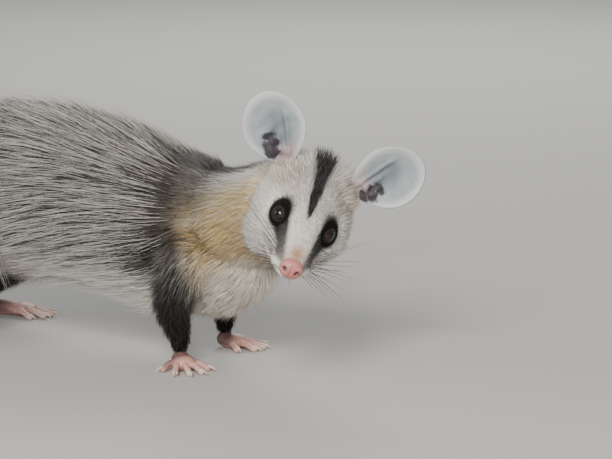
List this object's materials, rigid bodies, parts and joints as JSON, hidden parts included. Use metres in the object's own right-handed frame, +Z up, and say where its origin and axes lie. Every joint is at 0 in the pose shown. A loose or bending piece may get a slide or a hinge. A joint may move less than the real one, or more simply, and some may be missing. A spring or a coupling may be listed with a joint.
{
  "type": "white-eared opossum model",
  "caption": "Life-size still model of a white-eared opossum standing on all fours, head turned aside, long tail laid on the floor behind.",
  "frame": {"origin": "on the floor, under the middle of the animal's overall box", "axes": "+Z up; +X forward along the body, from rump to shoulders; +Y to the animal's left. The head is turned to the animal's right and a little down."},
  "size_m": [0.6204, 0.1534, 0.182],
  "materials": {
    "pale_fur": "soft matte fur",
    "grey_fur": "coarse fur, dark with long white guard hairs",
    "yellow_fur": "soft matte fur",
    "black_fur": "short dense fur",
    "ear_skin": "thin bare skin",
    "nose_skin": "moist bare skin",
    "toe_skin": "bare skin with horn claws",
    "tail_skin": "scaly bare skin",
    "tail_tip_skin": "scaly bare skin",
    "eye": "wet gloss"
  },
  "bodies": {
    "root": {"head": "pale_fur", "nose": "nose_skin", "ear_right": "ear_skin", "ear_left": "ear_skin", "eye_right": "eye", "eye_left": "eye", "neck": "yellow_fur", "torso": "grey_fur", "foreleg_right": "black_fur", "foreleg_left": "black_fur", "hindleg_right": "black_fur", "hindleg_left": "black_fur", "forefoot_right": "toe_skin", "forefoot_left": "toe_skin", "hindfoot_right": "toe_skin", "hindfoot_left": "toe_skin", "tail_base": "black_fur", "tail_middle": "tail_skin", "tail_tip": "tail_tip_skin"}
  },
  "joints": []
}
